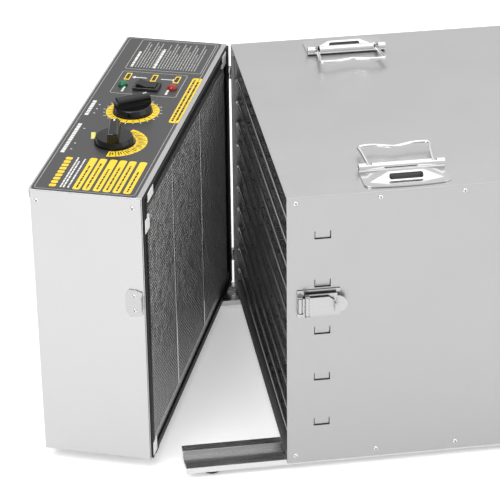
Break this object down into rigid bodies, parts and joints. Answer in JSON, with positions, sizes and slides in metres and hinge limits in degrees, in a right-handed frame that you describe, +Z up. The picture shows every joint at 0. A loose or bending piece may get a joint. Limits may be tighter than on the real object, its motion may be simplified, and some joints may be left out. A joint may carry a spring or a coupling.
{
  "type": "food dehydrator",
  "caption": "Stainless steel food dehydrator: a tray cabinet on rails with a door at one end and a hinged fan and heater box with a control panel at the other, both standing open.",
  "frame": {"origin": "middle of the underside of the box round the whole object, at the level of the feet, with the heater box and the door open as stored", "axes": "+X from the heater box to the door, +Y from the latch side to the hinge side, +Z up"},
  "size_m": [1.055, 0.5898, 0.363],
  "materials": {
    "satin_steel": "satin stainless sheet",
    "bright_steel": "polished stainless",
    "dark_mesh": "dark coated wire mesh",
    "black_rubber": "matt black rubber",
    "black_plastic": "gloss black plastic",
    "control_overlay": "dark grey printed overlay on a steel lid",
    "green_lens": "clear green lens",
    "red_lens": "clear red lens",
    "cast_metal": "plain cast and pressed metal",
    "heater_sheath": "dull oxidised heater tube"
  },
  "bodies": {
    "cabinet": {"cabinet_floor_panel": "satin_steel", "cabinet_top_panel": "satin_steel", "door_hinge_lower_fixed_leaf": "bright_steel", "door_hinge_upper_fixed_leaf": "bright_steel", "far_handle_plate": "bright_steel", "far_rail": "bright_steel", "far_side_panel": "satin_steel", "far_tray_rack": "satin_steel", "foot_door_end_far": "black_rubber", "foot_door_end_near": "black_rubber", "foot_heater_end_far": "black_rubber", "foot_heater_end_near": "black_rubber", "heater_hinge_lower_fixed_leaf": "bright_steel", "heater_hinge_upper_fixed_leaf": "bright_steel", "latch_base": "bright_steel", "near_handle_plate": "bright_steel", "near_rail": "bright_steel", "near_side_panel": "satin_steel", "near_tray_rack": "satin_steel"},
    "heater_box": {"heater_hinge_lower_moving_leaf": "bright_steel", "heater_hinge_upper_moving_leaf": "bright_steel", "latch_catch": "bright_steel", "heater_housing": "satin_steel", "heater_bottom_panel": "satin_steel", "heater_face_frame": "satin_steel", "air_screen": "dark_mesh", "face_seal": "black_rubber", "control_panel": "control_overlay", "timer_body": "black_plastic", "thermostat_body": "cast_metal", "switch_body": "black_plastic", "green_lamp": "green_lens", "red_lamp": "red_lens", "power_inlet": "black_plastic", "fan_motor": "cast_metal", "heating_element": "heater_sheath", "fan_guard": "bright_steel"},
    "door": {"door_hinge_lower_moving_leaf": "bright_steel", "door_hinge_upper_moving_leaf": "bright_steel", "door_panel": "satin_steel", "door_liner": "satin_steel", "door_handle": "bright_steel"},
    "tray_01_body": {"tray_01": "dark_mesh"},
    "tray_02_body": {"tray_02": "dark_mesh"},
    "tray_03_body": {"tray_03": "dark_mesh"},
    "tray_04_body": {"tray_04": "dark_mesh"},
    "tray_05_body": {"tray_05": "dark_mesh"},
    "tray_06_body": {"tray_06": "dark_mesh"},
    "tray_07_body": {"tray_07": "dark_mesh"},
    "tray_08_body": {"tray_08": "dark_mesh"},
    "tray_09_body": {"tray_09": "dark_mesh"},
    "tray_10_body": {"tray_10": "dark_mesh"},
    "timer_knob_body": {"timer_knob": "black_plastic"},
    "thermostat_knob_body": {"thermostat_knob": "black_plastic"},
    "switch_rocker_body": {"switch_rocker": "black_plastic"},
    "fan_rotor_body": {"fan_rotor": "cast_metal"},
    "near_bail_body": {"near_bail": "bright_steel"},
    "far_bail_body": {"far_bail": "bright_steel"},
    "latch_lever_body": {"latch_lever": "bright_steel"},
    "latch_claw_body": {"latch_claw": "bright_steel"}
  },
  "joints": [
    {"name": "heater_swing", "type": "hinge", "parent": "cabinet", "child": "heater_box", "pos_m": [-0.26288, 0.13808, 0.178], "axis": [0, 0, -1], "range_deg": [-20.5, 114.5]},
    {"name": "door_swing", "type": "hinge", "parent": "cabinet", "child": "door", "pos_m": [0.12312, 0.13808, 0.178], "axis": [0, 0, 1], "range_deg": [-105, 75]},
    {"name": "tray_01_slide", "type": "slide", "parent": "cabinet", "child": "tray_01_body", "axis": [1, 0, 0], "range_m": [0, 0.4]},
    {"name": "tray_02_slide", "type": "slide", "parent": "cabinet", "child": "tray_02_body", "axis": [1, 0, 0], "range_m": [0, 0.4]},
    {"name": "tray_03_slide", "type": "slide", "parent": "cabinet", "child": "tray_03_body", "axis": [1, 0, 0], "range_m": [0, 0.4]},
    {"name": "tray_04_slide", "type": "slide", "parent": "cabinet", "child": "tray_04_body", "axis": [1, 0, 0], "range_m": [0, 0.4]},
    {"name": "tray_05_slide", "type": "slide", "parent": "cabinet", "child": "tray_05_body", "axis": [1, 0, 0], "range_m": [0, 0.4]},
    {"name": "tray_06_slide", "type": "slide", "parent": "cabinet", "child": "tray_06_body", "axis": [1, 0, 0], "range_m": [0, 0.4]},
    {"name": "tray_07_slide", "type": "slide", "parent": "cabinet", "child": "tray_07_body", "axis": [1, 0, 0], "range_m": [0, 0.4]},
    {"name": "tray_08_slide", "type": "slide", "parent": "cabinet", "child": "tray_08_body", "axis": [1, 0, 0], "range_m": [0, 0.4]},
    {"name": "tray_09_slide", "type": "slide", "parent": "cabinet", "child": "tray_09_body", "axis": [1, 0, 0], "range_m": [0, 0.4]},
    {"name": "tray_10_slide", "type": "slide", "parent": "cabinet", "child": "tray_10_body", "axis": [1, 0, 0], "range_m": [0, 0.4]},
    {"name": "near_bail_lift", "type": "hinge", "parent": "cabinet", "child": "near_bail_body", "pos_m": [-0.12838, -0.23192, 0.3483], "axis": [1, 0, 0], "range_deg": [0, 85]},
    {"name": "far_bail_lift", "type": "hinge", "parent": "cabinet", "child": "far_bail_body", "pos_m": [-0.12838, 0.08508, 0.3483], "axis": [-1, 0, 0], "range_deg": [0, 85]},
    {"name": "latch_lever_swing", "type": "hinge", "parent": "cabinet", "child": "latch_lever_body", "pos_m": [-0.24738, -0.28532, 0.2155], "axis": [0, 0, -1], "range_deg": [0, 140]},
    {"name": "latch_claw_swing", "type": "hinge", "parent": "latch_lever_body", "child": "latch_claw_body", "pos_m": [-0.24038, -0.28892, 0.2155], "axis": [0, 0, 1], "range_deg": [-180, 0]},
    {"name": "timer_turn", "type": "hinge", "parent": "heater_box", "child": "timer_knob_body", "pos_m": [-0.39783, -0.03727, 0.343], "axis": [0, 0, -1], "range_deg": [0, 300]},
    {"name": "thermostat_turn", "type": "hinge", "parent": "heater_box", "child": "thermostat_knob_body", "pos_m": [-0.4262, -0.11314, 0.343], "axis": [0, 0, -1], "range_deg": [0, 270]},
    {"name": "switch_tip", "type": "hinge", "parent": "heater_box", "child": "switch_rocker_body", "pos_m": [-0.37497, 0.0239, 0.3465], "axis": [-0.3502, -0.9367, 0], "range_deg": [0, 16]},
    {"name": "fan_spin", "type": "hinge", "parent": "heater_box", "child": "fan_rotor_body", "pos_m": [-0.39175, -0.03954, 0.18], "axis": [0.9367, -0.3502, 0], "continuous": true}
  ]
}
